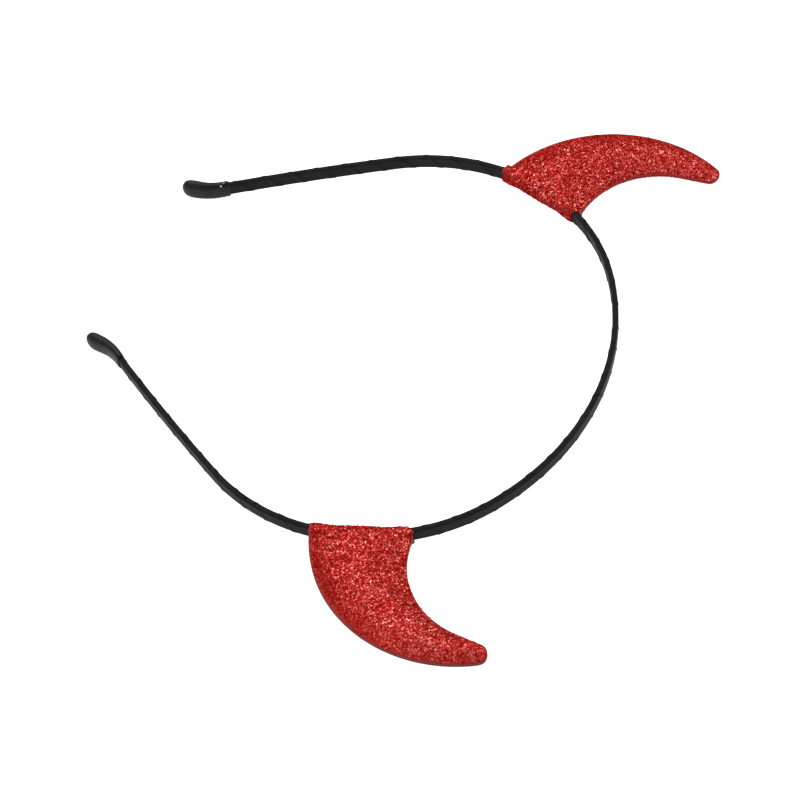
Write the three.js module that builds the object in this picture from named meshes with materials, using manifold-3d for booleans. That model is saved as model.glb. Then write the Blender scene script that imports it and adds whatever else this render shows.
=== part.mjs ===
// A costume headband: a springy hoop wound with black satin ribbon, with a padded glitter horn on
// each shoulder and a moulded cap on each end. It lies on its back. +Z is up, +Y points to the
// crown of the hoop and +X to the wearer's left. All sizes are in millimetres.

import * as THREE from 'three';
import { LoftGeometry } from 'three/addons/geometries/LoftGeometry.js';
import { mergeVertices } from 'three/addons/utils/BufferGeometryUtils.js';
import Module from 'manifold-3d';

const wasm = await Module();
wasm.setup();

// Clearance between pieces that touch
const GAP = 0.3;

// Hoop: one half of its middle line, from the middle of the crown to the end of a leg
const CROWN_RADIUS = 73.8;
const CROWN_TURN = 32.9;
const SHOULDER_RADIUS = 53.2;
const SHOULDER_TURN = 86.8;
const LEG_LENGTH = 49.1;
const LEG_TURN = 3.8;
const FLARE_RADIUS = 14;
const FLARE_TURN = 25;
const TOE_LENGTH = 5.2;

// Band: the ribbon-wound strip, wide across the hoop's plane and thin within it
const BAND_WIDTH = 4.05;
const BAND_THICKNESS = 1.7;
const BAND_CORNER = 0.5;
const BAND_STEPS = 112;

// End cap: its sections from the collar to the rounded end, and how deep the band sits in it
const CAP_SECTIONS = [
  { along: 0, width: 5.2, thickness: 2.8 },
  { along: 0.5, width: 5.6, thickness: 3.0 },
  { along: 4.5, width: 5.6, thickness: 3.0 },
  { along: 8.8, width: 5.8, thickness: 3.2 },
  { along: 10.8, width: 5.7, thickness: 3.3 },
  { along: 12.5, width: 5.0, thickness: 2.9 },
  { along: 13.3, width: 3.6, thickness: 2.1 },
  { along: 13.7, width: 1.6, thickness: 0.9 },
];
const CAP_LENGTH = CAP_SECTIONS.at(-1).along;
const CAP_SIDES = 16;
const CAP_SQUARENESS = 2.8;
const SOCKET_DEPTH = 8.5;
const SOCKET_STEPS = 12;

// The band's middle plane lies as high as half the widest part of the caps
const REST_HEIGHT = Math.max(...CAP_SECTIONS.map(({ width }) => width)) / 2;

// Horn: where its middle sits along the hoop, and how far its base reaches inside the band
const HORN_STATION = 77.8;
const HORN_INSET = 3.1;

// Horn outline: a long arc outside, a short arc and a straight inside, and a round tip. The edges
// are given by how far they stand from the station. On its inner side the base is cut back, and a
// flared lip stands beside the band.
const OUTER_EDGE = 13.35;
const OUTER_START = 1.5;
const OUTER_RADIUS = 38.15;
const INNER_CORNER = 10.7;
const LIP_EDGE = 12.8;
const LIP_START = 2.4;
const INNER_EDGE = 12;
const INNER_START = 10.1;
const INNER_RADIUS = 22.8;
const INNER_TURN = 66.4;
const TIP_RADIUS = 2.75;

// Horn padding: a thin rim, a sloping edge, and a front that swells towards the middle. The cloth
// covers the band and comes down on both sides of it, sooner towards the base.
const HORN_RIM = 0.5;
const HORN_SLOPE = 5.5;
const HORN_FRONT = 3;
const HORN_SWELL = 1.2;
const HORN_SWELL_REACH = 7;
const CLOTH_OVER_BAND = 0.45;
const BAND_COVER = 1.2;
const COVER_TO_BASE = 2.2;
const COVER_TO_TIP = 3.2;
const HORN_STEPS = 26;
const HORN_RIBS = 14;
const HORN_TIP_STOP = 0.992;
const CHANNEL_STEPS = 28;

// Hoop path

const arc = (radius, turn) => ({ length: radius * THREE.MathUtils.degToRad(Math.abs(turn)), turn });
const straight = (length) => ({ length, turn: 0 });

const HALF_HOOP = [
  arc(CROWN_RADIUS, CROWN_TURN),
  arc(SHOULDER_RADIUS, SHOULDER_TURN),
  { length: LEG_LENGTH, turn: LEG_TURN },
  arc(FLARE_RADIUS, -FLARE_TURN),
  straight(TOE_LENGTH),
];
const HALF_LENGTH = HALF_HOOP.reduce((sum, { length }) => sum + length, 0);
const CAP_START = HALF_LENGTH - CAP_LENGTH;
const BAND_END = CAP_START + SOCKET_DEPTH;

// Place and heading on the left half of the hoop, at a distance from the middle of the crown. The
// chord of each stretch leans by half its turn.
function alongHoop(distance) {
  const place = new THREE.Vector2();
  let heading = 0;
  let left = distance;
  for (const { length, turn } of HALF_HOOP) {
    const walked = Math.min(left, length);
    const half = THREE.MathUtils.degToRad(turn) * walked / length / 2;
    const chord = half === 0 ? walked : walked * Math.sin(half) / half;
    place.x += chord * Math.cos(heading + half);
    place.y -= chord * Math.sin(heading + half);
    heading += 2 * half;
    left -= walked;
  }
  const outward = new THREE.Vector2(Math.sin(heading), Math.cos(heading));
  return { place, heading, outward };
}

// A stretch of the hoop's middle line between two distances; the right half counts below zero
class HoopLine extends THREE.Curve {
  constructor(from, to) {
    super();
    this.from = from;
    this.to = to;
  }

  getPoint(t, target = new THREE.Vector3()) {
    const distance = THREE.MathUtils.lerp(this.from, this.to, t);
    const { place } = alongHoop(Math.abs(distance));
    return target.set(Math.sign(distance) * place.x, place.y, 0);
  }
}

// A rounded strip along a stretch of the hoop, grown all round by a clearance
function strip(from, to, steps, clearance) {
  const width = BAND_WIDTH / 2 + clearance;
  const depth = BAND_THICKNESS / 2 + clearance;
  const corner = BAND_CORNER + clearance;
  const quarter = Math.PI / 2;
  const section = new THREE.Shape();
  section.absarc(width - corner, depth - corner, corner, 0, quarter);
  section.absarc(corner - width, depth - corner, corner, quarter, 2 * quarter);
  section.absarc(corner - width, corner - depth, corner, 2 * quarter, 3 * quarter);
  section.absarc(width - corner, corner - depth, corner, 3 * quarter, 4 * quarter);
  const extrudePath = new HoopLine(from, to);
  return new THREE.ExtrudeGeometry(section, { steps, curveSegments: 1, bevelEnabled: false, extrudePath });
}

// Cutting one closed shape out of another

function solid(geometry) {
  const bare = new THREE.BufferGeometry();
  bare.setAttribute('position', geometry.attributes.position);
  bare.setIndex(geometry.index);
  const merged = mergeVertices(bare);
  const mesh = new wasm.Mesh({
    numProp: 3,
    vertProperties: merged.attributes.position.array,
    triVerts: Uint32Array.from(merged.index.array),
  });
  return new wasm.Manifold(mesh);
}

function cut(geometry, tool) {
  const mesh = solid(geometry).subtract(solid(tool)).getMesh();
  const result = new THREE.BufferGeometry();
  result.setAttribute('position', new THREE.BufferAttribute(mesh.vertProperties, 3));
  result.setIndex(new THREE.BufferAttribute(mesh.triVerts, 1));
  return result;
}

// End cap: rounded sections carried along the flared end of the leg, with a socket for the band

function capSection({ along, width, thickness }) {
  const { place, outward } = alongHoop(CAP_START + along);
  const power = 2 / CAP_SQUARENESS;
  const rounded = (value) => Math.sign(value) * Math.abs(value) ** power;
  return Array.from({ length: CAP_SIDES }, (_, side) => {
    const angle = 2 * Math.PI * side / CAP_SIDES;
    const across = thickness / 2 * rounded(Math.cos(angle));
    const up = width / 2 * rounded(Math.sin(angle));
    return new THREE.Vector3(place.x + outward.x * across, place.y + outward.y * across, up);
  });
}

function endCap() {
  const shell = new LoftGeometry(CAP_SECTIONS.map(capSection), { capStart: true, capEnd: true });
  const socket = strip(CAP_START - GAP, BAND_END + GAP, SOCKET_STEPS, GAP);
  return cut(shell, socket);
}

// Horn: its own frame has x along the band towards the leg and y outwards from the base

const HORN_PLACE = alongHoop(HORN_STATION);
const SHOULDER_CENTRE = new THREE.Vector2(0, HORN_INSET - SHOULDER_RADIUS);
const OUTER_CENTRE = new THREE.Vector2(OUTER_EDGE - OUTER_RADIUS, OUTER_START);
const INNER_CENTRE = new THREE.Vector2(-INNER_EDGE - INNER_RADIUS, INNER_START);
const INNER_END_ANGLE = THREE.MathUtils.degToRad(INNER_TURN);
const INNER_NORMAL = new THREE.Vector2(Math.cos(INNER_END_ANGLE), Math.sin(INNER_END_ANGLE));
const INNER_HEADING = new THREE.Vector2(-INNER_NORMAL.y, INNER_NORMAL.x);
const INNER_END = INNER_CENTRE.clone().addScaledVector(INNER_NORMAL, INNER_RADIUS);
const TIP_CENTRE = tipCentre();
const TIP_SHOULDER = TIP_CENTRE.clone().sub(OUTER_CENTRE).normalize();

// The tip's circle touches the inner straight, and the outer arc from within
function tipCentre() {
  const start = INNER_END.clone().addScaledVector(INNER_NORMAL, TIP_RADIUS);
  const offset = start.clone().sub(OUTER_CENTRE);
  const ahead = offset.dot(INNER_HEADING);
  const room = (OUTER_RADIUS - TIP_RADIUS) ** 2 - offset.lengthSq();
  return start.addScaledVector(INNER_HEADING, Math.sqrt(ahead ** 2 + room) - ahead);
}

// The long convex edge, from the base up to the end of the tip
function outerEdge() {
  const shoulder = TIP_SHOULDER.angle();
  const edge = new THREE.Path();
  edge.moveTo(OUTER_EDGE, 0);
  edge.absarc(OUTER_CENTRE.x, OUTER_CENTRE.y, OUTER_RADIUS, 0, shoulder);
  edge.absarc(TIP_CENTRE.x, TIP_CENTRE.y, TIP_RADIUS, shoulder, INNER_HEADING.angle());
  return edge;
}

// The short hollow edge, with the lip where the band comes out
function innerEdge() {
  const under = INNER_NORMAL.angle() + Math.PI;
  const edge = new THREE.Path();
  edge.moveTo(-INNER_CORNER, 0);
  edge.lineTo(-LIP_EDGE, LIP_START);
  edge.quadraticCurveTo(-INNER_EDGE, (LIP_START + INNER_START) / 2, -INNER_EDGE, INNER_START);
  edge.absarc(INNER_CENTRE.x, INNER_CENTRE.y, INNER_RADIUS, 0, INNER_END_ANGLE);
  edge.absarc(TIP_CENTRE.x, TIP_CENTRE.y, TIP_RADIUS, under, INNER_HEADING.angle(), true);
  return edge;
}

// How far a point lies in from the outer edge, the inner edge with its lip, and the whole outline
function outerInset(point) {
  if (point.y < OUTER_START) return OUTER_EDGE - point.x;
  return OUTER_RADIUS - point.distanceTo(OUTER_CENTRE);
}

function lipEdge(height) {
  if (height < LIP_START) return THREE.MathUtils.lerp(INNER_CORNER, LIP_EDGE, height / LIP_START);
  const flare = (INNER_START - height) / (INNER_START - LIP_START);
  return INNER_EDGE + (LIP_EDGE - INNER_EDGE) * flare ** 2;
}

function innerInset(point) {
  if (point.y < INNER_START) return point.x + lipEdge(point.y);
  const fromEnd = point.clone().sub(INNER_END);
  return fromEnd.dot(INNER_HEADING) > 0
    ? fromEnd.dot(INNER_NORMAL)
    : point.distanceTo(INNER_CENTRE) - INNER_RADIUS;
}

function insetOf(point) {
  const fromTip = point.clone().sub(TIP_CENTRE);
  const inTip = fromTip.dot(INNER_HEADING) > 0 && TIP_SHOULDER.cross(fromTip) > 0;
  const inset = inTip
    ? TIP_RADIUS - fromTip.length()
    : Math.min(outerInset(point), innerInset(point), point.y);
  return Math.max(inset, 0);
}

// Rise of the cloth from the middle plane: it slopes up from the rim, and stretches over the band
function padding(point, top) {
  const slope = 1 - (1 - Math.min(insetOf(point) / HORN_SLOPE, 1)) ** 2;
  const fromBand = point.distanceTo(SHOULDER_CENTRE) - SHOULDER_RADIUS;
  const coverEnd = fromBand < 0 ? COVER_TO_BASE : COVER_TO_TIP;
  const cover = 1 - THREE.MathUtils.smoothstep(Math.abs(fromBand), BAND_COVER, coverEnd);
  const overBand = BAND_WIDTH / 2 + GAP + CLOTH_OVER_BAND;
  return Math.max(HORN_RIM + (top - HORN_RIM) * slope, overBand * cover);
}

function frontRise(point) {
  const swell = 1 - Math.exp(-((insetOf(point) / HORN_SWELL_REACH) ** 2));
  return padding(point, HORN_FRONT) + HORN_SWELL * swell;
}

// The back is flat where it lies on the surface
function backDrop(point) {
  return Math.min(padding(point, REST_HEIGHT), REST_HEIGHT);
}

// Steps that crowd together at both ends
const eased = (step, steps) => (1 - Math.cos(Math.PI * step / steps)) / 2;

// One horn panel: ribs from the inner to the outer edge, each closed by the flat seam plane.
// The side is 1 for the front panel and -1 for the back one.
function hornPanel(side, rise) {
  const inner = innerEdge();
  const outer = outerEdge();
  const sections = [];
  for (let step = 0; step <= HORN_STEPS; step += 1) {
    const along = eased(step, HORN_STEPS) * HORN_TIP_STOP;
    const from = inner.getPoint(along);
    const to = outer.getPoint(along);
    const seam = side * GAP / 2;
    const section = [new THREE.Vector3(from.x, from.y, seam)];
    for (let rib = 0; rib <= HORN_RIBS; rib += 1) {
      const point = from.clone().lerp(to, eased(rib, HORN_RIBS));
      section.push(new THREE.Vector3(point.x, point.y, side * rise(point)));
    }
    section.push(new THREE.Vector3(to.x, to.y, seam));
    sections.push(side > 0 ? section : section.reverse());
  }
  return new LoftGeometry(sections, { capStart: true, capEnd: true });
}

// The channel that the band runs through, in the horn's own frame
function bandChannel(hornMatrix) {
  const reach = 2 * OUTER_EDGE;
  const channel = strip(HORN_STATION - reach, HORN_STATION + reach, CHANNEL_STEPS, GAP);
  return channel.applyMatrix4(hornMatrix.clone().invert());
}

// Materials

const ribbon = () => new THREE.MeshStandardMaterial({ color: 0x2b2a2b, roughness: 0.6, metalness: 0 });
const moulding = () => new THREE.MeshStandardMaterial({ color: 0x1c1c1d, roughness: 0.45, metalness: 0 });
const glitter = () => new THREE.MeshStandardMaterial({ color: 0xac3530, roughness: 0.4, metalness: 0.3 });

function piece(name, geometry, material) {
  const mesh = new THREE.Mesh(geometry, material);
  mesh.name = name;
  return mesh;
}

// Assembly

const hornFrame = new THREE.Object3D();
hornFrame.position.set(HORN_PLACE.place.x, HORN_PLACE.place.y, 0);
hornFrame.position.x -= HORN_PLACE.outward.x * HORN_INSET;
hornFrame.position.y -= HORN_PLACE.outward.y * HORN_INSET;
hornFrame.rotation.z = -HORN_PLACE.heading;
hornFrame.updateMatrix();

const channel = bandChannel(hornFrame.matrix);
const frontPanel = cut(hornPanel(1, frontRise), channel);
const backPanel = cut(hornPanel(-1, backDrop), channel);
const cap = endCap();

const headband = new THREE.Group();
headband.add(piece('band', strip(-BAND_END, BAND_END, BAND_STEPS, 0), ribbon()));

for (const { side, mirror } of [{ side: 'left', mirror: 1 }, { side: 'right', mirror: -1 }]) {
  const half = new THREE.Group();
  half.scale.x = mirror;
  half.add(piece(`end_cap_${side}`, cap, moulding()));
  const horn = new THREE.Group();
  horn.position.copy(hornFrame.position);
  horn.rotation.copy(hornFrame.rotation);
  horn.add(piece(`horn_${side}_front`, frontPanel, glitter()));
  horn.add(piece(`horn_${side}_back`, backPanel, glitter()));
  half.add(horn);
  headband.add(half);
}

// The origin is on the surface that the headband lies on, below the middle of its outline
const box = new THREE.Box3().setFromObject(headband, true);
headband.position.set(0, -(box.min.y + box.max.y) / 2, REST_HEIGHT);

export default headband;
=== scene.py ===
# %% [markdown]
# A costume headband: a springy hoop wound with black satin ribbon, a soft black sleeve on each end,
# and a padded red glitter horn on each shoulder. The solids of the hoop, the sleeves and the horns
# are loaded first and stay where they are. Every finer surface below is worked out around them, in
# the same frame: +X is the wearer's left, +Y points to the crown of the hoop and +Z is up.

# %% Load the solids
import math
import bpy
import numpy as np
from mathutils import Matrix, Vector


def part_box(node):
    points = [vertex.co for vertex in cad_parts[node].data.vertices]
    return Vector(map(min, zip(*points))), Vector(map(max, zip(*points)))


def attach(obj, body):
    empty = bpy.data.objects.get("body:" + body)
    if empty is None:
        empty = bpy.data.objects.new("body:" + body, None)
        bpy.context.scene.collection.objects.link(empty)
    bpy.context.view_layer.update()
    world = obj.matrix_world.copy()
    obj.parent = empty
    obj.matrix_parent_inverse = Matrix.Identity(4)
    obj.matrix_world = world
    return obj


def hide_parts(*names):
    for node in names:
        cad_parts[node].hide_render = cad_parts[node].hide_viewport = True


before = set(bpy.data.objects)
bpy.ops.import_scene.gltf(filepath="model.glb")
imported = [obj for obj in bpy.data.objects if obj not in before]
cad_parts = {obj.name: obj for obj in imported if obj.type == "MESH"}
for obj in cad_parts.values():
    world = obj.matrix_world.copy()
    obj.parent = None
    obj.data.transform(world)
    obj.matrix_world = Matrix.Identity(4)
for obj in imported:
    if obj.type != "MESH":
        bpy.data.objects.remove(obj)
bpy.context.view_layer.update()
print("solids:", ", ".join(sorted(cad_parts)))

# %% [markdown]
# Small things are easier to think about in millimetres, and Blender counts in metres, so shapes are
# worked out in millimetres and scaled once, when they are put into a mesh. Three sizes are read off
# the loaded band: its width, its middle height, and the top of its curve, the apex of the crown.

# %% Sizes read from the loaded band
MM = 0.001
BAND_THICKNESS = 1.7
band_low, band_high = (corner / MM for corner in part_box("band"))
BAND_WIDTH = band_high.z - band_low.z
MIDDLE = (band_high.z + band_low.z) / 2
APEX = band_high.y - BAND_THICKNESS / 2
print(f"band {BAND_WIDTH:.2f} mm wide, middle plane at {MIDDLE:.2f} mm, apex at y {APEX:.2f} mm")

# %% [markdown]
# The camera looks down on the lying headband from beyond the left horn, and is tilted a little to
# one side. A camera's own axes are its right, its up and the direction behind it, so these three
# vectors are worked out from two angles and a roll and put into its matrix as columns.

# %% Camera
AZIMUTH = math.radians(119.49)
ELEVATION = math.radians(52.53)
ROLL = math.radians(-7.13)
DISTANCE = 0.6902
LENS = 118.92
SENSOR = 36
AIM_LEFT = 18.41
AIM_BELOW_APEX = 47.81
AIM = Vector((AIM_LEFT, APEX - AIM_BELOW_APEX, MIDDLE)) * MM

behind = Vector((math.sin(AZIMUTH), -math.cos(AZIMUTH), math.tan(ELEVATION))).normalized()
level_right = Vector((0, 0, 1)).cross(behind).normalized()
level_up = behind.cross(level_right)
right = level_right * math.cos(ROLL) + level_up * math.sin(ROLL)
up = level_up * math.cos(ROLL) - level_right * math.sin(ROLL)

camera_data = bpy.data.cameras.new("camera")
camera_data.lens = LENS
camera_data.sensor_width = SENSOR
camera = bpy.data.objects.new("camera", camera_data)
bpy.context.collection.objects.link(camera)
turn = Matrix((right, up, behind)).transposed()
camera.matrix_world = Matrix.Translation(AIM + behind * DISTANCE) @ turn.to_4x4()
bpy.context.scene.camera = camera
print("camera at", [round(value, 3) for value in camera.location])

# %% [markdown]
# Shader sums are easier to read as Python expressions than as long lists of nodes. This small class
# wraps one output socket of a material. Adding, subtracting or multiplying two of them, or one of
# them and a number, adds a Math node and gives back its result. Its add method makes any other node:
# the settings are set first, because they change which sockets a node has.

# %% Sockets as Python values
class Shade:
    """An output socket of a material, used as a value in Python expressions."""

    def __init__(self, tree, output=None):
        self.tree = tree
        self.output = output

    def feed(self, socket, value):
        """A link into a socket for a Shade, and a set value for anything else."""
        if isinstance(value, Shade):
            self.tree.links.new(value.output, socket)
        else:
            socket.default_value = value

    def add(self, kind, settings=None, sockets=None, out=0):
        """A node of that kind: its settings, then the values or links of its sockets."""
        node = self.tree.nodes.new(kind)
        for name, value in (settings or {}).items():
            if name == "stops":
                self.set_stops(node.color_ramp, value)
            else:
                setattr(node, name, value)
        for name, value in (sockets or {}).items():
            self.feed(node.inputs[name], value)
        return Shade(self.tree, node.outputs[out])

    @staticmethod
    def set_stops(ramp, stops):
        """A ramp's places and colours."""
        while len(ramp.elements) < len(stops):
            ramp.elements.new(1)
        for element, (place, colour) in zip(ramp.elements, stops):
            element.position = place
            element.color = (*colour, 1)

    def math(self, operation, *values):
        """A Math node on values or numbers."""
        return self.add("ShaderNodeMath", {"operation": operation}, dict(enumerate(values)))

    def mix(self, factor, first, second):
        """A colour between two colours."""
        sockets = {0: factor, 6: first, 7: second}
        return self.add("ShaderNodeMix", {"data_type": "RGBA"}, sockets, out=2)

    def noise(self, place, scale, detail):
        """Smooth random values from 0 to 1; the scale counts the blobs along one unit of the place."""
        sockets = {"Vector": place, "Scale": scale, "Detail": detail}
        return self.add("ShaderNodeTexNoise", sockets=sockets)

    def bump(self, height, strength, distance):
        """A normal that leans as if the surface had that height, in units of the distance."""
        sockets = {"Strength": strength, "Distance": distance, "Height": height}
        return self.add("ShaderNodeBump", sockets=sockets)

    def soft_step(self, low, high):
        """0 below low, 1 above high, smooth between."""
        settings = {"interpolation_type": "SMOOTHSTEP"}
        sockets = {"Value": self, "From Min": low, "From Max": high}
        return self.add("ShaderNodeMapRange", settings, sockets)

    def fract(self):
        """What is left of a number over its whole part."""
        return self.math("FRACT", self)

    def sine(self):
        """The sine of an angle in radians."""
        return self.math("SINE", self)

    def __add__(self, other):
        return self.math("ADD", self, other)

    def __sub__(self, other):
        return self.math("SUBTRACT", self, other)

    def __rsub__(self, other):
        return self.math("SUBTRACT", other, self)

    def __mul__(self, other):
        return self.math("MULTIPLY", self, other)

    __radd__ = __add__
    __rmul__ = __mul__


print("sockets can be added, subtracted and multiplied")

# %% [markdown]
# Every finish below starts from the same shader, the one that a new material already holds. What is
# the same all over a piece is set on its sockets once, and what varies is fed in afterwards.

# %% Empty finishes
def new_finish(name, constants):
    """An empty material: its name, and the shader's sockets that are the same all over."""
    finish = bpy.data.materials.new(name)
    finish.use_nodes = True
    shader = finish.node_tree.nodes["Principled BSDF"]
    for socket, value in constants.items():
        shader.inputs[socket].default_value = value
    return finish, Shade(finish.node_tree), shader


def attribute(shade, name):
    """A number that the mesh carries at each of its points."""
    return shade.add("ShaderNodeAttribute", {"attribute_name": name}, out="Fac")


def object_place(shade):
    """Where a point lies on its piece, in metres."""
    return shade.add("ShaderNodeTexCoord", out="Object")


print("shader helpers ready")

# %% [markdown]
# A piece is a net of points joined by faces. Whole arrays of points go into the mesh at once. If the
# faces turn out to point inwards, the sum of the small volumes under them is negative, and they are
# all turned round. Mirrored pieces need that.

# %% Nets of points
SHARP_ANGLE = math.radians(50)


def grid_faces(rows, columns, wrap=False):
    """Corners of the faces of a grid, row by row; with wrap the last column joins the first."""
    across = np.arange(columns if wrap else columns - 1)
    after = (across + 1) % columns
    start = np.arange(rows - 1)[:, None] * columns
    corners = [start + across, start + after, start + columns + after, start + columns + across]
    return np.stack(corners, -1).reshape(-1, 4)


def volume_of(mesh):
    """Six times the volume inside a mesh: the triple product of each triangle's corners, summed."""
    mesh.calc_loop_triangles()
    corners = np.empty(3 * len(mesh.loop_triangles), dtype=np.int32)
    mesh.loop_triangles.foreach_get("vertices", corners)
    points = np.empty(3 * len(mesh.vertices))
    mesh.vertices.foreach_get("co", points)
    a, b, c = points.reshape(-1, 3)[corners.reshape(-1, 3)].transpose(1, 0, 2)
    return float((a * np.cross(b, c)).sum())


def new_piece(name, points, faces, finish):
    """A mesh from points in millimetres, which rides on the headband's one body."""
    mesh = bpy.data.meshes.new(name)
    mesh.from_pydata((np.asarray(points) * MM).tolist(), [], faces)
    mesh.materials.append(finish)
    mesh.shade_smooth()
    mesh.set_sharp_from_angle(angle=SHARP_ANGLE)
    if volume_of(mesh) < 0:
        mesh.flip_normals()
    piece = bpy.data.objects.new(name, mesh)
    bpy.context.collection.objects.link(piece)
    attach(piece, "root")
    print(f"{name}: {len(mesh.vertices)} points, {len(mesh.polygons)} faces")
    return piece


def store(piece, name, values):
    """A number at each point of a piece, which its material can read."""
    layer = piece.data.attributes.new(name, "FLOAT", "POINT")
    layer.data.foreach_set("value", np.asarray(values, dtype=np.float32).ravel())


print("a net of 3 by 4 points has", len(grid_faces(3, 4)), "faces")

# %% [markdown]
# The hoop is a flat curve, and each half of it has five stretches: a wide arc over the crown, a tighter
# one round the shoulder, a leg that is nearly straight, a short flare outwards and a straight toe. A
# stretch that turns evenly is an arc, and its chord leans by half its turn, so places along the hoop can
# be worked out for a whole array of distances at once.

# %% The hoop's middle line
ARCS = [
    # radius, bend in degrees
    (73.8, 32.9),
    (53.2, 86.8),
    (740.3, 3.8),
    (14, -25),
]
TOE_LENGTH = 5.2
CAP_LENGTH = 13.7
SOCKET_DEPTH = 8.5
STRETCHES = [(radius * math.radians(abs(bend)), math.radians(bend)) for radius, bend in ARCS]
STRETCHES.append((TOE_LENGTH, 0))
HALF_HOOP = sum(length for length, bend in STRETCHES)
CAP_START = HALF_HOOP - CAP_LENGTH
BAND_END = CAP_START + SOCKET_DEPTH


def along_hoop(distance):
    """Places and outward directions at distances from the crown; the right half counts below zero."""
    distance = np.asarray(distance, dtype=float)
    left = np.abs(distance)
    heading = np.zeros_like(left)
    x = np.zeros_like(left)
    y = np.full_like(left, APEX)
    for length, bend in STRETCHES:
        walked = np.minimum(left, length)
        half = bend * walked / length / 2
        chord = walked * np.sinc(half / np.pi)
        x += chord * np.cos(heading + half)
        y -= chord * np.sin(heading + half)
        heading += 2 * half
        left = left - walked
    side = np.where(distance < 0, -1, 1)
    return np.stack([side * x, y], -1), np.stack([side * np.sin(heading), np.cos(heading)], -1)


print(f"half the hoop is {HALF_HOOP:.1f} mm long and carries its sleeve from {CAP_START:.1f} mm")

# %% [markdown]
# On the real band a narrow satin ribbon is wound round the strip in a slant, and each turn laps over
# the edge of the one before. The ribbon could be a separate coil of cloth, but laid so tight only its
# outer face shows. So the band is one tube: a rounded strip carried along the hoop, which stands a
# ribbon's thickness higher where two turns lie on each other, and drops back at each free edge.

# %% Strip under the ribbon
BAND_CORNER = 0.5
CORNER_STEPS = 9
BAND_SIDES = 44


def strip_section(sides):
    """The rounded strip, evenly stepped round: four corner arcs joined by straights. Gives how far
    each point lies outwards and up from the middle line, and the direction in which it faces."""
    quarter = np.linspace(0, np.pi / 2, CORNER_STEPS)
    angle = np.concatenate([quarter + k * np.pi / 2 for k in range(4)])
    reach_out = BAND_THICKNESS / 2 - BAND_CORNER
    reach_up = BAND_WIDTH / 2 - BAND_CORNER
    facing = np.stack([np.cos(angle), np.sin(angle)], -1)
    corner = np.repeat([[1, 1], [-1, 1], [-1, -1], [1, -1]], CORNER_STEPS, axis=0)
    centre = corner * [reach_out, reach_up]
    ring = centre + BAND_CORNER * facing
    ring = np.concatenate([ring, ring[:1]])
    facing = np.concatenate([facing, facing[:1]])
    walked = np.concatenate([[0], np.cumsum(np.linalg.norm(np.diff(ring, axis=0), axis=1))])
    stops = np.arange(sides) / sides * walked[-1]
    place = np.stack([np.interp(stops, walked, ring[:, k]) for k in (0, 1)], -1)
    face = np.stack([np.interp(stops, walked, facing[:, k]) for k in (0, 1)], -1)
    return place, face / np.linalg.norm(face, axis=1, keepdims=True)


print(f"strip of {BAND_THICKNESS} by {BAND_WIDTH:.2f} mm with corners of {BAND_CORNER} mm")

# %% [markdown]
# One number says how the ribbon lies at a point: how many turns have been wound up to there. It grows
# along the band and falls on the way round the strip, which makes the turns slant, and the wander of the
# hand that wound it keeps them from being even. Its fraction is the place across the ribbon.

# %% Ribbon turns
RIBBON_PITCH = 7.6
RIBBON_THICKNESS = 0.11
RIBBON_LAP = 0.24
LAP_STEEPNESS = 1.6
RING_STEP = 0.24
HAND_WANDER = [
    # turns, radians per mm, start
    (0.05, 0.29, 0.0),
    (0.035, 0.83, 1.3),
]


def winding_phase(distance, around):
    """Turns of ribbon up to a point: one for each pitch along and one for each way round, with the
    slow waves of a hand that winds it."""
    wander = sum(turns * np.sin(distance * wave + start) for turns, wave, start in HAND_WANDER)
    return distance / RIBBON_PITCH - around + wander


def lap_height(phase):
    """Height of the ribbon over a turn: level, then a smooth climb over the edge beneath, then a
    sudden drop at its own free edge."""
    climb = np.clip((phase % 1 - (1 - RIBBON_LAP)) / RIBBON_LAP * LAP_STEEPNESS, 0, 1)
    return RIBBON_THICKNESS * climb * climb * (3 - 2 * climb)


def wound_band():
    """Rings of the strip's section along the hoop, raised by the ribbon's height."""
    distance = np.linspace(-BAND_END, BAND_END, round(2 * BAND_END / RING_STEP))
    section, face = strip_section(BAND_SIDES)
    around = np.arange(BAND_SIDES) / BAND_SIDES
    height = lap_height(winding_phase(distance[:, None], around))
    offset = section + face * (height - RIBBON_THICKNESS / 2)[..., None]
    place, outward = along_hoop(distance)
    flat = place[:, None] + outward[:, None] * offset[..., :1]
    return distance, np.concatenate([flat, MIDDLE + offset[..., 1:]], -1)


def winding_map(mesh, distance):
    """A map that gives the material the phase of the winding and the way round the strip."""
    around = np.arange(BAND_SIDES + 1) / BAND_SIDES
    phase = winding_phase(distance[:, None], around)
    net = np.stack(np.broadcast_arrays(phase, around), -1)
    corners = net[:-1, :-1], net[:-1, 1:], net[1:, 1:], net[1:, :-1]
    sides = np.stack(corners, 2).reshape(-1, 2)
    layer = mesh.uv_layers.new(name="winding")
    ends = np.zeros((2 * BAND_SIDES, 2))
    layer.data.foreach_set("uv", np.concatenate([sides, ends]).ravel())


print(f"{2 * BAND_END / RIBBON_PITCH:.0f} turns of ribbon on {2 * BAND_END:.0f} mm of band")

# %% [markdown]
# Black satin reads by its sheen, not by its colour. Its threads run along the ribbon, so they follow
# the winding: the map stores the phase of the turn, and its fraction is the place across the ribbon.
# Fine lines there are threads, a slow noise along them gives worn and dull stretches, and a thin strip
# at the foot of each step, where the ribbon comes out from under a free edge, is black.

# %% Ribbon finish
RIBBON_BLACK = (0.006, 0.006, 0.0061, 1)
RIBBON_GREY = (0.0165, 0.0163, 0.0163, 1)
THREADS = 26
STREAK_STRETCH = {"X": 40, "Y": 5, "Z": 3.7}
STREAK_SHARE = 0.7
WEAR_SHARE = 0.5
WEAR_SCALE = 160.0
GREY_RANGE = (0.4, 0.85)
STEP_FOOT = 0.05
SATIN_ROUGHNESS = 0.36
WORN_ROUGHNESS = 0.3
THREAD_RELIEF = 0.3
STREAK_RELIEF = 1.2
THREAD_DEPTH = 0.00006


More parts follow.
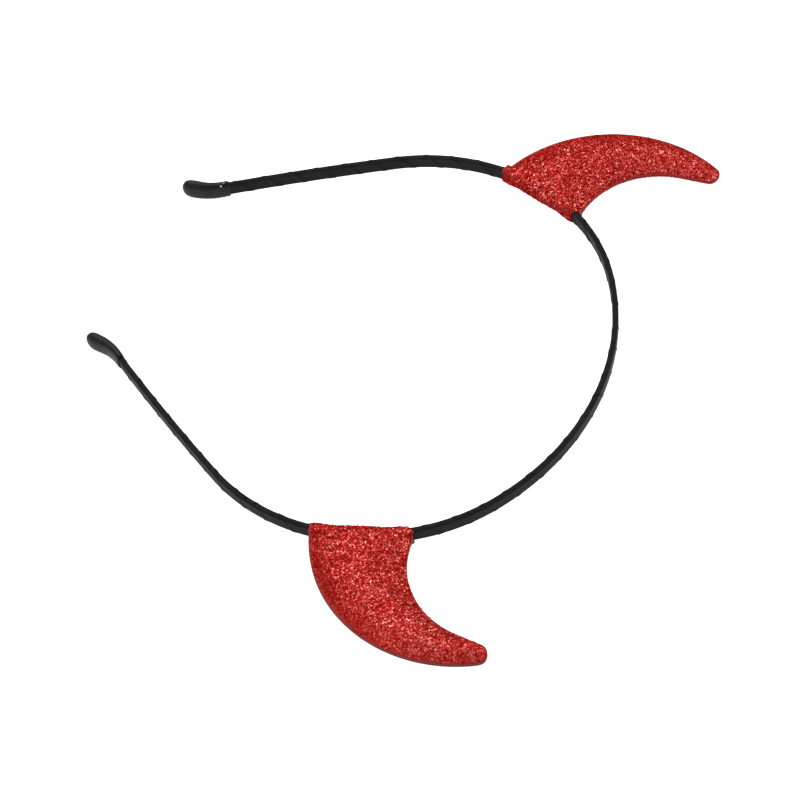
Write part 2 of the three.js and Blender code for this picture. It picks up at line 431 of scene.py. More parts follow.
def ribbon_finish():
    """Grey where streaks and wear add up, black elsewhere and in a thin strip at the foot of each step."""
    constants = {"Sheen Weight": 0.008, "Sheen Roughness": 0.4, "Specular IOR Level": 0.045}
    finish, shade, shader = new_finish("satin_ribbon", constants)
    winding = shade.add("ShaderNodeUVMap", {"uv_map": "winding"})
    parts = shade.add("ShaderNodeSeparateXYZ", sockets={"Vector": winding})
    phase = Shade(shade.tree, parts.output.node.outputs["X"])
    around = Shade(shade.tree, parts.output.node.outputs["Y"])
    across = phase.fract()
    turn_number = phase - across
    places = {"X": across, "Y": around, "Z": turn_number}
    axes = {axis: place * STREAK_STRETCH[axis] for axis, place in places.items()}
    fibre = shade.add("ShaderNodeCombineXYZ", sockets=axes)
    streak = shade.noise(fibre, scale=1.0, detail=3.0)
    wear = shade.noise(object_place(shade), WEAR_SCALE, detail=2.0)
    thread = (across * (2 * math.pi * THREADS)).sine()
    edge = across.soft_step(0.0, STEP_FOOT)
    tone = (streak * STREAK_SHARE + wear * WEAR_SHARE).soft_step(*GREY_RANGE) * edge
    shade.feed(shader.inputs["Base Color"], shade.mix(tone, RIBBON_BLACK, RIBBON_GREY))
    shade.feed(shader.inputs["Roughness"], SATIN_ROUGHNESS + WORN_ROUGHNESS * wear)
    relief = thread * THREAD_RELIEF + streak * STREAK_RELIEF + edge
    shade.feed(shader.inputs["Normal"], shade.bump(relief, strength=0.5, distance=THREAD_DEPTH))
    return finish


distance, rings = wound_band()
tube = grid_faces(len(rings), BAND_SIDES, wrap=True).tolist()
first_ring = list(range(BAND_SIDES))[::-1]
last_ring = [(len(rings) - 1) * BAND_SIDES + k for k in range(BAND_SIDES)]
tube += [first_ring, last_ring]
band = new_piece("wound_band", rings.reshape(-1, 3), tube, ribbon_finish())
winding_map(band.data, distance)
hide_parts("band")

# %% [markdown]
# Each end is pushed into a soft black sleeve that keeps the strip from scratching: a flat neck, a
# small step where the sleeve begins, and a rounded bulb at the toe. A lathe can't make it, because
# the section isn't round and the path bends, so rounded sections are carried along the flare. The
# surface goes on over the collar and back down the bore, so the sleeve is a real cup.

# %% Sleeves
CAP_OUTSIDE = [
    # along, width, thickness
    (13.7, 0.0, 0.0),
    (13.66, 0.9, 0.55),
    (13.5, 2.1, 1.25),
    (13.1, 3.7, 2.15),
    (12.4, 4.95, 2.85),
    (11.3, 5.65, 3.25),
    (10.0, 5.8, 3.3),
    (8.2, 5.7, 3.12),
    (6.0, 5.5, 2.85),
    (3.0, 5.35, 2.6),
    (1.2, 5.35, 2.45),
    (0.5, 5.3, 2.38),
    (0.2, 5.15, 2.26),
    (0.05, 4.95, 2.12),
]
CAP_BORE = [
    # along, width, thickness
    (0.0, 4.7, 2.0),
    (0.2, 4.45, 1.9),
    (2.0, 4.4, 1.9),
    (8.8, 4.4, 1.9),
    (8.81, 0.0, 0.0),
]
CAP_ROWS = 96
BORE_ROWS = 32
CAP_SIDES = 48
CAP_SQUARENESS = 2.7
CAP_PINHOLE = 0.004
STEP_WEIGHTS = (1, 0.5, 0.5)
SMOOTHINGS = 3


def smooth_rows(table, count):
    """Sections between those of a table: evenly stepped along it, with a gentle three-point average."""
    table = np.array(table)
    steps = np.linalg.norm(np.diff(table, axis=0) * STEP_WEIGHTS, axis=1)
    walked = np.concatenate([[0], np.cumsum(steps)])
    stops = np.linspace(0, walked[-1], count)
    rows = np.stack([np.interp(stops, walked, table[:, k]) for k in range(3)], -1)
    for smoothing in range(SMOOTHINGS):
        rows[1:-1] = (rows[:-2] + 2 * rows[1:-1] + rows[2:]) / 4
    return rows


def sleeve(side):
    """Superellipse sections along the end of the hoop: across = thickness/2 * cos^(2/n) and up =
    width/2 * sin^(2/n), from the toe over the outside to the collar and down the bore."""
    rows = np.concatenate([smooth_rows(CAP_OUTSIDE, CAP_ROWS), smooth_rows(CAP_BORE, BORE_ROWS)])
    along, width, thickness = rows.T
    angle = np.arange(CAP_SIDES) / CAP_SIDES * 2 * np.pi
    rounded = np.stack([np.cos(angle), np.sin(angle)])
    rounded = np.sign(rounded) * np.abs(rounded) ** (2 / CAP_SQUARENESS)
    across = np.maximum(thickness, CAP_PINHOLE)[:, None] / 2 * rounded[0]
    rise = np.maximum(width, CAP_PINHOLE)[:, None] / 2 * rounded[1]
    place, outward = along_hoop(side * (CAP_START + along))
    flat = place[:, None] + outward[:, None] * across[..., None]
    return np.concatenate([flat, (MIDDLE + rise)[..., None]], -1)


print(f"sleeve {CAP_LENGTH} mm long, over {SOCKET_DEPTH} mm of the band")

# %% [markdown]
# The sleeve is soft rubbery plastic: black, with a broad dull gloss, a fine pebble from the mould and
# faint paler scuffs.

# %% Sleeve finish
SLEEVE_BLACK = (0.004, 0.004, 0.0046, 1)
SLEEVE_SCUFF = (0.009, 0.009, 0.01, 1)
SCUFF_SCALE = 420.0
SCUFF_RANGE = (0.45, 0.75)
PEBBLE_SCALE = 2600.0
PEBBLE_DEPTH = 0.00005
SLEEVE_ROUGHNESS = 0.34
SCUFF_ROUGHNESS = 0.22


def sleeve_finish():
    """Black, paler and rougher where a cloudy noise makes a scuff, over a fine pebble."""
    finish, shade, shader = new_finish("soft_black_sleeve", {"Specular IOR Level": 0.15})
    place = object_place(shade)
    scuff = shade.noise(place, SCUFF_SCALE, detail=4.0)
    pebble = shade.noise(place, PEBBLE_SCALE, detail=2.0)
    mark = scuff.soft_step(*SCUFF_RANGE)
    shade.feed(shader.inputs["Base Color"], shade.mix(mark, SLEEVE_BLACK, SLEEVE_SCUFF))
    shade.feed(shader.inputs["Roughness"], SLEEVE_ROUGHNESS + SCUFF_ROUGHNESS * scuff)
    shade.feed(shader.inputs["Normal"], shade.bump(pebble + scuff, strength=0.35, distance=PEBBLE_DEPTH))
    return finish


black_sleeve = sleeve_finish()
for side, name in ((1, "left"), (-1, "right")):
    rows = sleeve(side)
    faces = grid_faces(len(rows), CAP_SIDES, wrap=True).tolist()
    toe = list(range(CAP_SIDES))[::-1]
    bottom = [(len(rows) - 1) * CAP_SIDES + k for k in range(CAP_SIDES)]
    piece = new_piece(f"sleeve_{name}", rows.reshape(-1, 3), faces + [toe, bottom], black_sleeve)
    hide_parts(f"end_cap_{name}")

# %% [markdown]
# The sleeves are glued on, and on the right one two small drops have dried on top, close to the
# collar, where they catch the light. A drop is a low dome, so a flattened ball that is half sunk in
# the sleeve gives its shape. The glue is pale in the patches of a noise, and clear and dark beside them;
# the pale is a painted highlight, which keeps the drops glinting from every side.

# %% Drops of glue
DROPS = [
    # along, outward, radius
    (1.5, -0.25, 0.25),
    (2.4, -0.85, 0.34),
]
DROP_HEIGHT = 0.75
DROP_RINGS = 9
DROP_SIDES = 16
DROP_POLE = 0.05
DROP_SEAT = (5.35, 2.55)
GLUE_CLEAR = (0.06, 0.06, 0.06, 1)
# The pale glue colour stands in for glints: a painted highlight.
GLUE_PAINTED_GLINT = (0.3, 0.3, 0.31, 1)
CLOUD_SCALE = 1900.0
CLOUD_RANGE = (0.3, 0.6)


def drop(along, outward, radius):
    """A flattened ball: rings at even angles from the top, radius * sin wide and radius * cos high.
    Its middle lies on the sleeve's own section, up = width/2 * (1 - (outward / half thickness)^n)^(1/n)."""
    polar = np.linspace(DROP_POLE, np.pi - DROP_POLE, DROP_RINGS)[:, None]
    angle = np.arange(DROP_SIDES) / DROP_SIDES * 2 * np.pi
    place, facing = along_hoop(-(CAP_START + along))
    ahead = np.array([facing[1], -facing[0]])
    wide = radius * np.sin(polar)
    spread = (outward + wide * np.cos(angle))[..., None] * facing
    flat = place + spread + (wide * np.sin(angle))[..., None] * ahead
    width, thickness = DROP_SEAT
    beside = abs(2 * outward / thickness)
    seat = MIDDLE + width / 2 * (1 - beside**CAP_SQUARENESS) ** (1 / CAP_SQUARENESS)
    rise = np.broadcast_to(seat + DROP_HEIGHT * radius * np.cos(polar), flat.shape[:2])
    return np.concatenate([flat, rise[..., None]], -1)


def glue_finish():
    """Smooth glue, pale in the patches of a noise, a painted highlight, and dark between them."""
    constants = {"Roughness": 0.12, "Specular IOR Level": 0.5}
    finish, shade, shader = new_finish("glue_with_painted_glint", constants)
    glint_noise = shade.noise(object_place(shade), CLOUD_SCALE, detail=2.0)
    tone = shade.mix(glint_noise.soft_step(*CLOUD_RANGE), GLUE_CLEAR, GLUE_PAINTED_GLINT)
    shade.feed(shader.inputs["Base Color"], tone)
    return finish


balls = np.stack([drop(*sizes) for sizes in DROPS])
ball = grid_faces(DROP_RINGS, DROP_SIDES, wrap=True)
top = np.arange(DROP_SIDES)[::-1]
bottom = (DROP_RINGS - 1) * DROP_SIDES + np.arange(DROP_SIDES)
faces = []
for k in range(len(DROPS)):
    first = k * DROP_RINGS * DROP_SIDES
    faces += (ball + first).tolist() + [(top + first).tolist(), (bottom + first).tolist()]
new_piece("glue_drops", balls.reshape(-1, 3), faces, glue_finish())

# %% [markdown]
# A horn is cut from glitter cloth, front and back, padded with foam and closed round its edge. Its
# outline is a long convex arc, a short hollow arc with a straight, and a round tip that touches both.
# The horn's own frame has x along the band towards the leg and y outwards from the base, as on the
# loaded solids.

# %% Horn outline
HORN_STATION = 77.8
HORN_INSET = 3.1
SHOULDER_RADIUS = 53.2
OUTER_EDGE = 13.35
OUTER_START = 1.5
OUTER_RADIUS = 38.15
INNER_CORNER = 10.7
LIP_EDGE = 13.1
LIP_START = 2.4
INNER_EDGE = 12
INNER_START = 10.1
INNER_RADIUS = 22.8
INNER_TURN = math.radians(66.4)
TIP_RADIUS = 2.75
LEG_RISE = 0.4
CROWN_RISE = 0.75
BASE_BOW = 0.65

SHOULDER_CENTRE = np.array([0, HORN_INSET - SHOULDER_RADIUS])
OUTER_CENTRE = np.array([OUTER_EDGE - OUTER_RADIUS, OUTER_START])
INNER_CENTRE = np.array([-INNER_EDGE - INNER_RADIUS, INNER_START])
INNER_NORMAL = np.array([math.cos(INNER_TURN), math.sin(INNER_TURN)])
INNER_HEADING = np.array([-INNER_NORMAL[1], INNER_NORMAL[0]])
INNER_END = INNER_CENTRE + INNER_RADIUS * INNER_NORMAL


def tip_centre():
    """Middle of the tip's circle, which touches the inner straight, and the outer arc from within."""
    start = INNER_END + TIP_RADIUS * INNER_NORMAL
    offset = start - OUTER_CENTRE
    ahead = offset @ INNER_HEADING
    room = (OUTER_RADIUS - TIP_RADIUS) ** 2 - offset @ offset
    return start + INNER_HEADING * (math.sqrt(ahead ** 2 + room) - ahead)


TIP_CENTRE = tip_centre()
TIP_SHOULDER = (TIP_CENTRE - OUTER_CENTRE) / np.linalg.norm(TIP_CENTRE - OUTER_CENTRE)
print("horn tip", np.round(TIP_CENTRE + TIP_RADIUS * INNER_HEADING, 1), "mm from the base")

# %% [markdown]
# The two long edges are needed as lines of points. Each one is put together from its arcs with many
# points and then stepped along evenly, so that a share of its length gives a place on it. Both end at the
# crest of the tip.

# %% Horn edges
ARC_STEPS = 160
LIP_STEPS = 24


def arc(centre, radius, start, end):
    """Points of a circle from one angle to another: centre + radius * (cos, sin)."""
    angle = np.linspace(start, end, ARC_STEPS)
    return centre + radius * np.stack([np.cos(angle), np.sin(angle)], -1)


def evenly(line, share):
    """Points at given shares of a line's length."""
    walked = np.concatenate([[0], np.cumsum(np.linalg.norm(np.diff(line, axis=0), axis=1))])
    return np.stack([np.interp(share * walked[-1], walked, line[:, k]) for k in (0, 1)], -1)


def outer_edge(share):
    """The convex edge: from the base along the long arc and half-way round the tip."""
    shoulder = math.atan2(TIP_SHOULDER[1], TIP_SHOULDER[0])
    crest = math.atan2(INNER_HEADING[1], INNER_HEADING[0])
    long_arc = arc(OUTER_CENTRE, OUTER_RADIUS, 0, shoulder)
    tip = arc(TIP_CENTRE, TIP_RADIUS, shoulder, crest)
    return evenly(np.concatenate([[[OUTER_EDGE, LEG_RISE]], long_arc, tip]), share)


def lip_edge(height):
    """How far out the hollow edge stands beside the band: a slanted corner up to the lip, and above
    it a flare that fades with the square of the height left."""
    corner = INNER_CORNER + (LIP_EDGE - INNER_CORNER) * height / LIP_START
    left = (INNER_START - height) / (INNER_START - LIP_START)
    return np.where(height < LIP_START, corner, INNER_EDGE + (LIP_EDGE - INNER_EDGE) * left ** 2)


def inner_edge(share):
    """The hollow edge: the lip, the short arc, a straight, and half-way round the tip."""
    crest = math.atan2(INNER_HEADING[1], INNER_HEADING[0])
    height = np.concatenate([[CROWN_RISE], np.linspace(LIP_START, INNER_START, LIP_STEPS)])
    lip = np.stack([-lip_edge(height), height], -1)
    hollow = arc(INNER_CENTRE, INNER_RADIUS, 0, INNER_TURN)
    tip = arc(TIP_CENTRE, TIP_RADIUS, INNER_TURN + math.pi, crest)
    return evenly(np.concatenate([lip, hollow, tip]), share)


print("edges end at", np.round(outer_edge(1.0), 2), "and", np.round(inner_edge(1.0), 2), "mm")

# %% [markdown]
# How high the padding stands at a point depends on how far the point lies in from the outline. That could
# be searched for among the outline's points, but the outline is made of arcs and straights, and the
# distance to each of those is a short sum, so the whole net is measured at once.

# %% Distance in from the outline
SHORTEST = 1e-9


def length_of(vectors):
    """Lengths of vectors: the root of the sum of their squares."""
    return np.linalg.norm(vectors, axis=-1)


def unit(vectors):
    """Vectors divided by their lengths; one that has no length stays as it is."""
    return vectors / np.maximum(length_of(vectors), SHORTEST)[..., None]


def outer_inset(point):
    """How far a point lies in from the convex edge."""
    x, y = point[..., 0], point[..., 1]
    return np.where(y < OUTER_START, OUTER_EDGE - x, OUTER_RADIUS - length_of(point - OUTER_CENTRE))


def inner_inset(point):
    """How far a point lies in from the hollow edge."""
    x, y = point[..., 0], point[..., 1]
    from_end = point - INNER_END
    beyond = np.where(from_end @ INNER_HEADING > 0, from_end @ INNER_NORMAL,
                      length_of(point - INNER_CENTRE) - INNER_RADIUS)
    return np.where(y < INNER_START, x + lip_edge(y), beyond)


def base_inset(point):
    """How far a point lies in from the base, a parabola that dips between its raised corners."""
    share = (OUTER_EDGE - point[..., 0]) / (OUTER_EDGE + INNER_CORNER)
    line = LEG_RISE + (CROWN_RISE - LEG_RISE) * share - 4 * BASE_BOW * share * (1 - share)
    return point[..., 1] - line


def inset_of(point):
    """How far a point lies in from the whole outline."""
    from_tip = point - TIP_CENTRE
    turned = TIP_SHOULDER[0] * from_tip[..., 1] - TIP_SHOULDER[1] * from_tip[..., 0]
    in_tip = (from_tip @ INNER_HEADING > 0) & (turned > 0)
    sides = np.minimum(np.minimum(outer_inset(point), inner_inset(point)), base_inset(point))
    return np.maximum(np.where(in_tip, TIP_RADIUS - length_of(from_tip), sides), 0)


belly = np.array([0.0, 12.0])
print(f"12 mm up from the base, the nearest edge is {inset_of(belly):.1f} mm away")

# %% [markdown]
# The cloth slopes up from a thin rim, as on a cushion whose edges are glued together, and swells a
# little more towards the middle. It also has to clear the band, which runs through the base, so it
# stretches over the band like a low tent.

# %% Horn padding
HORN_RIM = 0.5
HORN_SLOPE = 5.5
HORN_FRONT = 3.0
HORN_SWELL = 1.2
HORN_SWELL_REACH = 7
OVER_BAND = 2.38
FOLD_ROUNDING = 0.8
FOLD_DROP = 0.22
BAND_COVER = 1.2
COVER_TO_BASE = 2.2
COVER_TO_TIP = 3.2
BACK_DEPTH = 2.66


def soft_step(value, low, high):
    """0 below low, 1 above high, and 3 s^2 - 2 s^3 of the share s between."""
    share = np.clip((value - low) / (high - low), 0, 1)
    return share * share * (3 - 2 * share)


def off_band(point):
    """How far a point lies beyond the band's middle line, towards the tip."""
    return length_of(point - SHOULDER_CENTRE) - SHOULDER_RADIUS


def band_tent(point):
    """1 over the band, falling smoothly to 0 beside it, sooner towards the base. The fold at the base
    is rounded off by a quarter circle."""
    beyond = off_band(point)
    end = np.where(beyond < 0, COVER_TO_BASE, COVER_TO_TIP)
    left = 1 - np.clip(base_inset(point) / FOLD_ROUNDING, 0, 1)
    rounding = 1 - FOLD_DROP + FOLD_DROP * np.sqrt(1 - left ** 2)
    return (1 - soft_step(np.abs(beyond), BAND_COVER, end)) * rounding


def padding(point, top):
    """Height of the cloth: a parabola from the rim to the top, or the tent over the band."""
    slope = 1 - (1 - np.minimum(inset_of(point) / HORN_SLOPE, 1)) ** 2
    return np.maximum(HORN_RIM + (top - HORN_RIM) * slope, OVER_BAND * band_tent(point))


def front_rise(point):
    """Height of the front: the padding, and a swell of one less a bell curve."""
    swell = 1 - np.exp(-((inset_of(point) / HORN_SWELL_REACH) ** 2))
    return padding(point, HORN_FRONT) + HORN_SWELL * swell


def back_drop(point):
    """Depth of the back, which is flat where it lies on the table."""
    return np.minimum(padding(point, BACK_DEPTH), BACK_DEPTH)


print(f"there the front is {front_rise(belly):.2f} mm high and the back {back_drop(belly):.2f} mm deep")

# %% [markdown]
# The cushion's net has ribs from the hollow edge to the convex one, closer together near the edges,
# where the cloth bends most. The same net is used for the front and for the back.

# %% Net of a horn
HORN_STEPS = 110
HORN_RIBS = 56
TIP_STOP = 0.997
CROWDING = 0.6
BOW_FADE = 4


def eased(count):
    """Shares from 0 to 1, closer together at both ends: s less a part of sin(2 pi s) / (2 pi)."""
    share = np.arange(count + 1) / count
    return share - CROWDING * np.sin(2 * np.pi * share) / (2 * np.pi)


def horn_net():
    """Points of the horn in its own frame: each rib runs straight from one edge to the other, and the
    ribs next to the base are bowed like it."""
    along = eased(HORN_STEPS) * TIP_STOP
    across = eased(HORN_RIBS)[None, :, None]
    ribs = inner_edge(along)[:, None] * (1 - across) + outer_edge(along)[:, None] * across
    bow = 4 * BASE_BOW * across[..., 0] * (1 - across[..., 0])
    ribs[..., 1] -= bow * (1 - soft_step(ribs[..., 1], 0, BOW_FADE))
    return ribs


def outline_walk(rows, columns):
    """Places of the outline's points in a net, once round it."""
    net = np.arange(rows * columns).reshape(rows, columns)
    return np.concatenate([net[0, :-1], net[:-1, -1], net[-1, :0:-1], net[:0:-1, 0]])


def ring_faces(rings):
    """Faces between closed rings of point numbers, each joined to the next."""
    following = np.roll(rings, -1, 1)
    return np.stack([rings[:-1], rings[1:], following[1:], following[:-1]], -1).reshape(-1, 4)


flat = horn_net()
net_shape = flat.shape[:2]
skin = net_shape[0] * net_shape[1]
walk = outline_walk(*net_shape)
net = grid_faces(*net_shape)
print(f"net of {skin} points, {len(walk)} of them round its outline")

# %% [markdown]
# The drawn shape is only a start. On a real horn, foam pushes the cloth out until the cloth pulls back,
# and Blender's cloth solver can do the same with air. The pad starts too flat in its middle, is held
# round its rim and over its flat back, and is blown up with gravity off. The solver works best on things
# about a metre long, so a copy twenty times as large is blown up. No point may move further than a limit.

# %% Foam pushes the cloth out
START_FLATNESS = 0.82
HELD_RIM = 0.6
FREE_INSET = 4
SOLVER_SCALE = 0.02
PRESSURE = 4
FRAMES = 20
MOST_SWELL = 1.2


def blow_up(points, faces, held):
    """Points of a closed pad after some frames of air pressure, with some of them held still."""
    mesh = bpy.data.meshes.new("pad")
    mesh.from_pydata((points * SOLVER_SCALE).tolist(), [], faces.tolist())
    pad = bpy.data.objects.new("pad", mesh)
    bpy.context.collection.objects.link(pad)
    pad.vertex_groups.new(name="held").add(np.flatnonzero(held).tolist(), 1, "REPLACE")
    cloth = pad.modifiers.new("cloth", "CLOTH")
    cloth.settings.vertex_group_mass = "held"
    cloth.settings.use_pressure = True
    cloth.settings.uniform_pressure_force = PRESSURE
    cloth.settings.effector_weights.gravity = 0
    cloth.collision_settings.use_collision = False
    cloth.point_cache.frame_end = FRAMES
    for step in range(1, FRAMES + 1):
        bpy.context.scene.frame_set(step)
    blown = np.empty(points.size)
    pad.evaluated_get(bpy.context.evaluated_depsgraph_get()).data.vertices.foreach_get("co", blown)
    bpy.data.objects.remove(pad)
    bpy.context.scene.frame_set(1)
    moved = blown.reshape(-1, 3) / SOLVER_SCALE - points
    far = np.maximum(length_of(moved), SHORTEST)[:, None]
    return points + moved * np.minimum(MOST_SWELL / far, 1)


back = np.concatenate([flat, -back_drop(flat)[..., None]], -1).reshape(-1, 3)
front = np.concatenate([flat, front_rise(flat)[..., None]], -1).reshape(-1, 3)
start = front.copy()
middle = soft_step(inset_of(flat), HELD_RIM, FREE_INSET) * (1 - band_tent(flat))
start[:, 2] *= 1 - (1 - START_FLATNESS) * middle.ravel()
held = np.concatenate([inset_of(flat).ravel() < HELD_RIM, np.ones(skin, dtype=bool)])
edge = ring_faces(np.stack([walk, walk + skin]))
pad_faces = np.concatenate([net, net[:, ::-1] + skin, edge])
front = blow_up(np.concatenate([start, back]), pad_faces, held)[:skin]
print(f"front of the horn stands {front[:, 2].max():.2f} mm above the middle of the band")

# %% [markdown]
# A narrow wall joins the front to the back. Along the sides it is the cut edge of the front cloth,
# which stands out a little beyond the glitter on the convex side, a fine groove where the two cloths
# meet, and the cut edge of the back one. Along the base the cloth is folded round the band, so there
# the wall swells out and has no groove. Where the band goes in, the wall sinks into a pocket.

# %% Horn cushion
CLOTH = 0.4
CUT_LIP = 0.22
GROOVE = 0.12
FOLD = 0.08
FOLD_LIP = 0.7
POCKET = 2.2
MOUTH = 0.95
MOUTH_EDGE = 0.25
BASE_STRIP = 0.05
CONVEX_FADE = (0.2, 2)
LIP_DROP = 0.06
WALL_RINGS = 6


def wall_rings(line, top, low):
    """Six rings from the front lip to the back lip, each moved in from the outline by its own depth.
    Gives the rings, and how much of each point is a fold instead of a cut edge."""
    tangent = np.roll(line, -1, 0) - np.roll(line, 1, 0)
    inward = unit(np.stack([-tangent[:, 1], tangent[:, 0]], -1))
    mouth = 1 - soft_step(np.abs(off_band(line)), MOUTH, MOUTH + MOUTH_EDGE)
    fold = (base_inset(line) < BASE_STRIP) * (1 - mouth)
    convex = 1 - soft_step(outer_inset(line), *CONVEX_FADE)
    lip = -FOLD_LIP * FOLD * fold - CUT_LIP * convex * (1 - fold) * (1 - mouth)
    seam = (1 - fold) * (GROOVE + (POCKET - GROOVE) * mouth) - FOLD * fold
    depths = lip, lip, seam, seam, lip, lip
    near_top = [top - LIP_DROP, top - CLOTH, top - CLOTH]
    near_low = [low + CLOTH, low + CLOTH, low + LIP_DROP]
    levels = near_top + near_low
    rings = [np.column_stack([line + inward * d[:, None], z]) for d, z in zip(depths, levels)]
    return rings, fold


def cushion():
    """The closed cushion in the horn's frame: front net, back net, and the wall between them."""
    line = flat.reshape(-1, 2)[walk]
    rings, fold = wall_rings(line, front[walk, 2], back[walk, 2])
    size = len(walk)
    inner = [2 * skin + k * size + np.arange(size) for k in range(WALL_RINGS)]
    wall = ring_faces(np.stack([walk, *inner, walk + skin]))
    faces = np.concatenate([net, net[:, ::-1] + skin, wall])
    return np.concatenate([front, back, *rings]), faces, np.tile(1 - fold, WALL_RINGS)


def horn_place(side):
    """Origin and axes of a horn's frame: its base sits inside the band at its station."""
    place, outward = along_hoop(np.array([side * HORN_STATION]))
    towards_leg = np.array([side * outward[0, 1], -side * outward[0, 0]])
    return place[0] - outward[0] * HORN_INSET, towards_leg, outward[0]


def set_on_band(points, side):
    """Points of the horn's frame, set on the band."""
    origin, towards_leg, outward = horn_place(side)
    place = origin + points[:, :1] * towards_leg + points[:, 1:2] * outward
    return np.column_stack([place, MIDDLE + points[:, 2]])


cushion_points, cushion_faces, cut_wall = cushion()
print(f"cushion of {len(cushion_points)} points, {np.ptp(cushion_points[:, 2]):.1f} mm thick")

# %% [markdown]
# Under the glitter the cloth is a dull red felt. It shows between the flakes and along the rolled
# convex edge, where few flakes stay on. The cut edge is greyer and darker than the face, and redder on
# the hollow side, where the face is pulled down over it. Along the fold at the base the cloth is darkened:
# painted shade.

# %% Glitter cloth finish
CLOTH_DEEP = (0.20, 0.004, 0.003, 1)
CLOTH_RED = (0.40, 0.012, 0.009, 1)
EDGE_RED = (0.33, 0.03, 0.027, 1)
CUT_EDGE = (0.13, 0.038, 0.037, 1)
CHIP_SCALE = 2100.0
PATCH_SCALE = 300.0
FELT_SCALE = 5200.0
CHIP_SHARE = 0.7
PATCH_SHARE = 0.3
CLOTH_ROUGHNESS = 0.45
FELT_ROUGHNESS = 0.2
CHIP_RELIEF = 0.6
FELT_RELIEF = 0.5
FELT_DEPTH = 0.0001


def cloth_finish():
    """Red in chips and patches, the rolled edge's red, and grey for the cut edge and the painted fold
    shade.
    """
    finish, shade, shader = new_finish("red_glitter_cloth", {"Specular IOR Level": 0.1})
    place = object_place(shade)
    cells = {"Vector": place, "Scale": CHIP_SCALE}
    chips = shade.add("ShaderNodeTexVoronoi", sockets=cells, out="Color")
    chip = shade.add("ShaderNodeSeparateColor", sockets={"Color": chips})
    patch = shade.noise(place, PATCH_SCALE, detail=4.0)
    felt = shade.noise(place, FELT_SCALE, detail=3.0)
    rolled = attribute(shade, "rolled")
    cut = attribute(shade, "cut")
    face = shade.mix(chip * CHIP_SHARE + patch * PATCH_SHARE, CLOTH_DEEP, CLOTH_RED)
    smooth = shade.mix(rolled, face, EDGE_RED)
    shade.feed(shader.inputs["Base Color"], shade.mix(cut, smooth, CUT_EDGE))
    shade.feed(shader.inputs["Roughness"], CLOTH_ROUGHNESS + FELT_ROUGHNESS * felt)
    relief = chip * CHIP_RELIEF + felt * FELT_RELIEF
    shade.feed(shader.inputs["Normal"], shade.bump(relief, strength=0.5, distance=FELT_DEPTH))
    return finish


glitter_cloth = cloth_finish()
print(glitter_cloth.name, "has", len(glitter_cloth.node_tree.nodes), "nodes")

# %% [markdown]
# Two numbers at each point of a cushion tell the finish where the cloth is rolled and where it is cut; the
# second also carries painted shade along the fold at the base. Both come from the point's place in the
# horn's own frame, so the two horns share them.

# %% Horns on the band
ROLLED_WIDTH = 1.4
ROLLED_START = 0.4 * ROLLED_WIDTH
ROLLED_FADE = 0.6
ROLLED_REACH = (22, 40)
HOLLOW_RED = 0.6
FOLD_SHADE = 0.6
FOLD_REACH = 0.7

hollow_side = soft_step(outer_inset(flat.reshape(-1, 2)[walk]), *CONVEX_FADE)
# Along the base fold, the wall and a strip of both faces are darkened: painted shade for the shade in the
# fold.
cut_and_fold_shade = cut_wall * np.tile(1 - HOLLOW_RED * hollow_side, WALL_RINGS) + FOLD_SHADE * (1 - cut_wall)
fold_shade = 1 - soft_step(base_inset(flat), 0.0, FOLD_REACH)
cut = np.concatenate([np.tile(FOLD_SHADE * fold_shade.ravel(), 2), cut_and_fold_shade])
rolled_edge = 1 - soft_step(outer_inset(flat), ROLLED_START, ROLLED_WIDTH)
rolled_edge *= 1 - ROLLED_FADE * soft_step(flat[..., 1], *ROLLED_REACH)
rolled = np.concatenate([np.tile(rolled_edge.ravel(), 2), np.zeros_like(cut_and_fold_shade)])
horns = {}
for side, name in ((1, "left"), (-1, "right")):
    points = set_on_band(cushion_points, side)
    piece = new_piece(f"horn_{name}", points, cushion_faces.tolist(), glitter_cloth)
    store(piece, "rolled", rolled)
    store(piece, "cut", cut)
    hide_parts(f"horn_{name}_front", f"horn_{name}_back")
    horns[name] = points

# %% [markdown]
# Glitter is thousands of tiny flat hexagons glued on at slightly different tilts, and each one
# flashes when it mirrors a lamp. Bump alone can't give those hard flashes, so the flakes are real: a
# hexagon with a very low point on each side, scattered over the finished cushion. Places are drawn
# in proportion to area, from a seeded generator, so the horns come out the same every time.

# %% Places for the flakes
SEED = 7
draw = np.random.default_rng(SEED)


def scatter(net, keep, count, draw):
    """Random places on a net, the directions that they face, and how many of the flakes there are
    kept. Each triangle is drawn in proportion to its area and to that number."""
    corners = [net[:-1, :-1], net[:-1, 1:], net[1:, 1:], net[1:, :-1]]
    first = np.stack([corners[0], corners[1], corners[2]], 2).reshape(-1, 3, 3)
    second = np.stack([corners[0], corners[2], corners[3]], 2).reshape(-1, 3, 3)
    triangles = np.concatenate([first, second])
    facing = np.cross(triangles[:, 1] - triangles[:, 0], triangles[:, 2] - triangles[:, 0])
    area = length_of(facing)
    share = np.tile((keep[:-1, :-1] + keep[1:, 1:]).ravel() / 2, 2)
    chance = area * share
    chosen = draw.choice(len(triangles), count, p=chance / chance.sum())
    a, b = np.sort(draw.random((2, count)), axis=0)
    weights = np.stack([a, b - a, 1 - b], -1)
    places = (triangles[chosen] * weights[..., None]).sum(1)
    return places, facing[chosen] / area[chosen][:, None], share[chosen]


print("places are drawn from seed", SEED)

# %% [markdown]
# Every flake is the same small shape at its own size, turn and tilt. All of a panel's flakes are worked out
# as one array, with eight points for each, and become one mesh.

# %% Flake shapes
FLAKE_RADIUS = 0.3
FLAKE_SPREAD = (0.75, 1.15)
FLAKE_POINT = 0.035
FLAKE_LIFT = 0.06
FLAKE_SPOKES = 6
FLAKE_CORNERS = FLAKE_SPOKES + 2


def spoke_ring():
    """Six directions round a circle: (cos, sin) of even steps."""
    angle = np.arange(FLAKE_SPOKES) / FLAKE_SPOKES * 2 * np.pi
    return np.stack([np.cos(angle), np.sin(angle)], -1)


